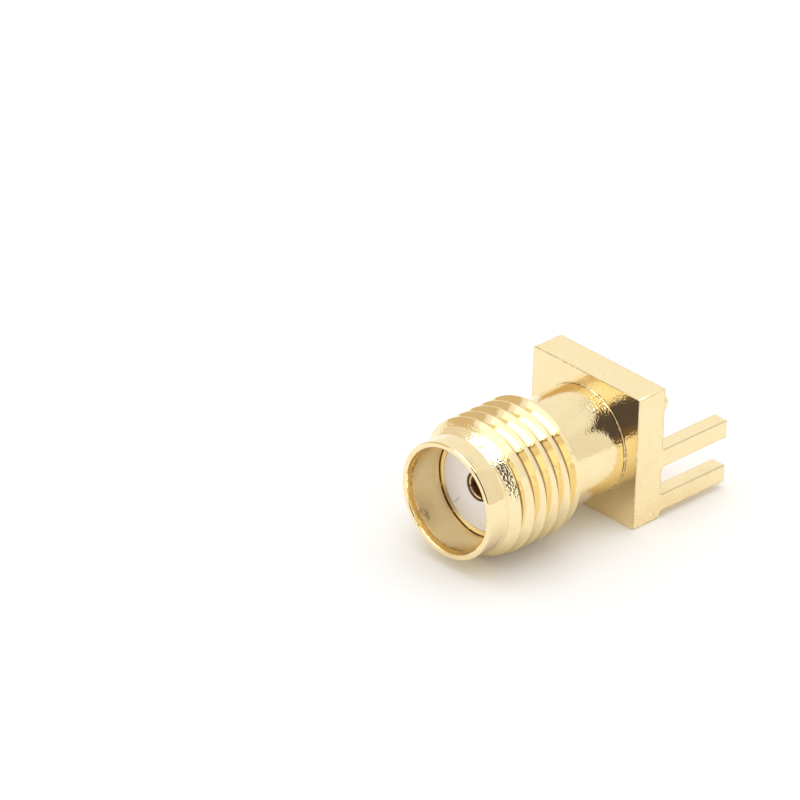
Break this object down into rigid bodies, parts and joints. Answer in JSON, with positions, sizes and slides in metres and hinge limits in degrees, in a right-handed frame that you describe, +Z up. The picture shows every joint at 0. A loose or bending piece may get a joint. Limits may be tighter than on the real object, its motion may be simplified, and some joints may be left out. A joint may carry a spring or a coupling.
{
  "type": "sma connector",
  "caption": "Small threaded coaxial jack with a square flange, straddle legs and a solder pin for the edge of a board.",
  "frame": {"origin": "on the connector's axis at the flange's back face, where the solder pin leaves it and the board's edge stops", "axes": "-Y out of the mouth, +Y along the solder pin and over the board, +Z up, square to the board, with the pair of legs nearer the axis above the board"},
  "size_m": [0.0064, 0.0138, 0.0064],
  "materials": {
    "gold_plated_brass": "polished gold plate",
    "fluoropolymer": "smooth, slightly waxy",
    "gold_plated_contact": "gold plate"
  },
  "bodies": {
    "root": {"connector_body": "gold_plated_brass", "insulator": "fluoropolymer", "centre_contact": "gold_plated_contact"}
  },
  "joints": []
}
